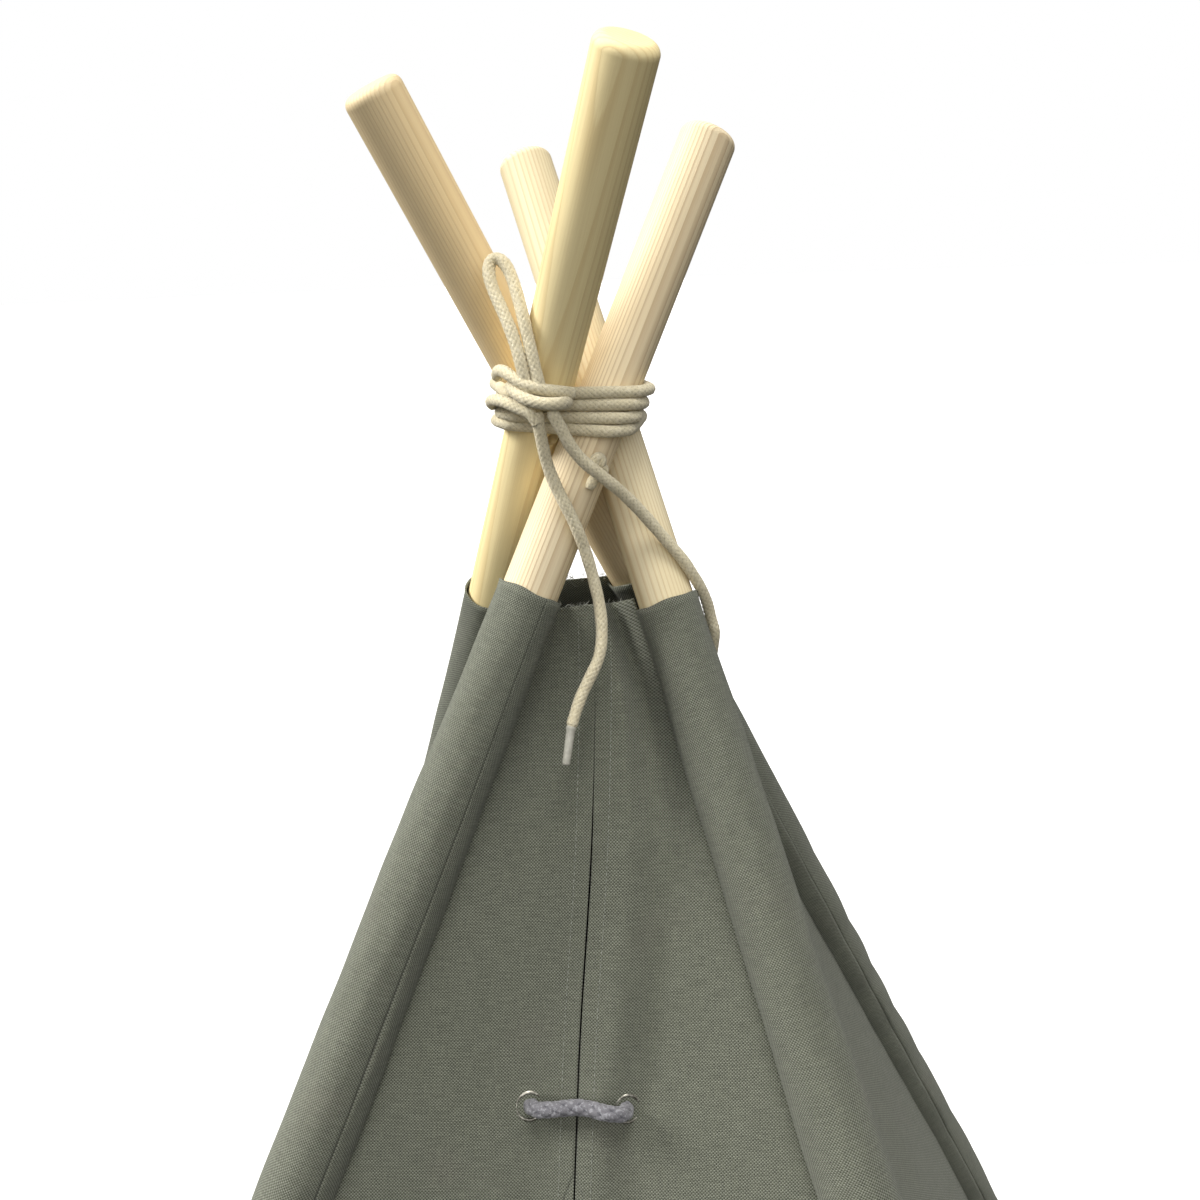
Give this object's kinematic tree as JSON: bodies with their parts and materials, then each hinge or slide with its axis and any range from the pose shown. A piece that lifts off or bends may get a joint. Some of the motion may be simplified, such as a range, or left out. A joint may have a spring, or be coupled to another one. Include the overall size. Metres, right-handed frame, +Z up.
{
  "type": "teepee tent",
  "caption": "Children's teepee tent: round wooden poles crossed and lashed with cord, a heavy canvas cover with a sleeve at each corner, and a two-part door held by a cord through eyelets.",
  "frame": {"origin": "on the floor, at the centre of the square that the four feet stand on", "axes": "+Z up, the door faces -Y, +X to the right of the door seen from the front"},
  "size_m": [1.165, 1.165, 1.6036],
  "materials": {
    "pine": "sanded, bare",
    "canvas": "heavy plain weave",
    "cotton_cord": "braided cotton",
    "tie_cord": "heathered braid",
    "eyelet_metal": "dark nickel",
    "aglet_plastic": "milky"
  },
  "bodies": {
    "root": {"left_panel": "canvas", "right_panel": "canvas", "back_panel": "canvas", "lashing_turns": "cotton_cord", "lashing_knot": "cotton_cord", "lashing_loop": "cotton_cord", "front_tail": "cotton_cord", "front_tail_aglet": "aglet_plastic", "side_tail": "cotton_cord", "side_tail_aglet": "aglet_plastic", "tie_cord": "tie_cord", "tie_knot_left": "tie_cord", "tie_knot_right": "tie_cord"},
    "pole_front_left": {"pole_front_left": "pine", "sleeve_front_left": "canvas", "threaded_knot": "cotton_cord"},
    "pole_front_right": {"pole_front_right": "pine", "sleeve_front_right": "canvas"},
    "pole_back_left": {"pole_back_left": "pine", "sleeve_back_left": "canvas"},
    "pole_back_right": {"pole_back_right": "pine", "sleeve_back_right": "canvas"},
    "front_left_half": {"front_panel_left": "canvas", "eyelet_left": "eyelet_metal", "eyelet_washer_left": "eyelet_metal"},
    "flap_left": {"door_flap_left": "canvas"},
    "front_right_half": {"front_panel_right": "canvas", "eyelet_right": "eyelet_metal", "eyelet_washer_right": "eyelet_metal"},
    "flap_right": {"door_flap_right": "canvas"}
  },
  "joints": [
    {"name": "front_left_pole_fold", "type": "hinge", "parent": "root", "child": "pole_front_left", "pos_m": [0.01626, -0.01626, 1.427], "axis": [-0.7071, 0.7071, 0], "range_deg": [-26.6, 0], "deforming": ["left_panel", "right_panel", "back_panel", "front_panel_left", "front_panel_right", "tie_cord", "tie_knot_left", "tie_knot_right", "eyelet_left", "eyelet_right", "eyelet_washer_left", "eyelet_washer_right", "front_tail", "front_tail_aglet", "side_tail", "side_tail_aglet", "door_flap_left", "door_flap_right", "lashing_turns", "lashing_loop"]},
    {"name": "front_right_pole_fold", "type": "hinge", "parent": "root", "child": "pole_front_right", "pos_m": [0.01626, 0.01626, 1.427], "axis": [-0.7071, -0.7071, 0], "range_deg": [-26.6, 0]},
    {"name": "back_left_pole_fold", "type": "hinge", "parent": "root", "child": "pole_back_left", "pos_m": [-0.01626, -0.01626, 1.427], "axis": [0.7071, 0.7071, 0], "range_deg": [-26.6, 0]},
    {"name": "back_right_pole_fold", "type": "hinge", "parent": "root", "child": "pole_back_right", "pos_m": [-0.01626, 0.01626, 1.427], "axis": [0.7071, -0.7071, 0], "range_deg": [-26.6, 0]},
    {"name": "front_left_crease", "type": "hinge", "parent": "pole_front_left", "child": "front_left_half", "pos_m": [-0.0014, -0.04298, 1.337], "axis": [-0.3348, -0.3432, -0.8776], "range_deg": [0, 94.6]},
    {"name": "door_flap_left_swing", "type": "hinge", "parent": "front_left_half", "child": "flap_left", "pos_m": [-0.38384, -0.55724, 0.02107], "axis": [-0.336, -0.3474, -0.8755], "range_deg": [0, 150]},
    {"name": "front_right_crease", "type": "hinge", "parent": "pole_front_right", "child": "front_right_half", "pos_m": [0.03393, -0.02642, 1.337], "axis": [-0.3359, 0.3346, 0.8805], "range_deg": [0, 87.1]},
    {"name": "door_flap_right_swing", "type": "hinge", "parent": "front_right_half", "child": "flap_right", "pos_m": [0.41653, -0.53323, 0.02109], "axis": [-0.3382, 0.3298, 0.8814], "range_deg": [0, 150]}
  ],
  "couplings": [
    {"joint": "front_right_pole_fold", "follows": "front_left_pole_fold", "ratio": 1},
    {"joint": "back_left_pole_fold", "follows": "front_left_pole_fold", "ratio": 1},
    {"joint": "back_right_pole_fold", "follows": "front_left_pole_fold", "ratio": 1},
    {"joint": "front_left_crease", "follows": "front_left_pole_fold", "ratio": -3.5526},
    {"joint": "front_right_crease", "follows": "front_left_pole_fold", "ratio": -3.2707}
  ]
}
